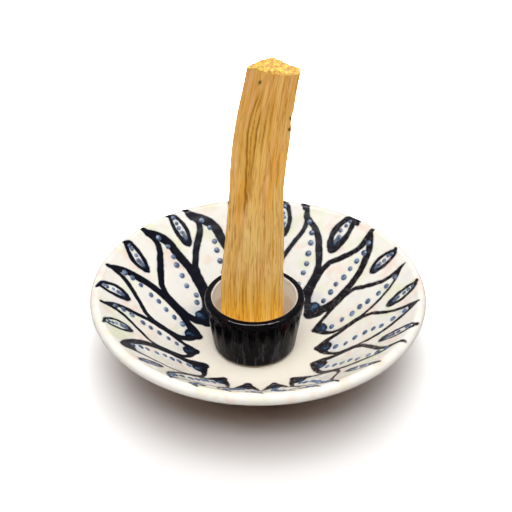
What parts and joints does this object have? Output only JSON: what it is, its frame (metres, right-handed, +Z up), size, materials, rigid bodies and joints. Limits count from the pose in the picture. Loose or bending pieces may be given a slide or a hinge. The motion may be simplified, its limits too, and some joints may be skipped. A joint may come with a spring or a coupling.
{
  "type": "palo santo holder",
  "caption": "Shallow round glazed dish on a foot ring, with a small raised cup in its middle that holds a split stick of incense wood upright.",
  "frame": {"origin": "centre of the foot ring, on the surface that the dish stands on", "axes": "+Z up along the dish's axis, -Y towards the stick's flat split face, +X to the right of a viewer who faces it"},
  "size_m": [0.115, 0.115, 0.1151],
  "materials": {
    "cream_glaze": "glossy cream glaze with painted dark leaves",
    "slip_clay": "thin brownish glaze over slip",
    "black_glaze": "glossy black glaze outside, cream inside",
    "split_wood": "raw split wood with fine straight grain"
  },
  "bodies": {
    "holder": {"dish": "cream_glaze", "luting_slip": "slip_clay", "stick_cup": "black_glaze"},
    "stick": {"palo_santo_stick": "split_wood"}
  },
  "joints": [
    {"name": "stick_lift", "type": "slide", "parent": "holder", "child": "stick", "axis": [0, 0, 1], "range_m": [0, 0.06]}
  ]
}
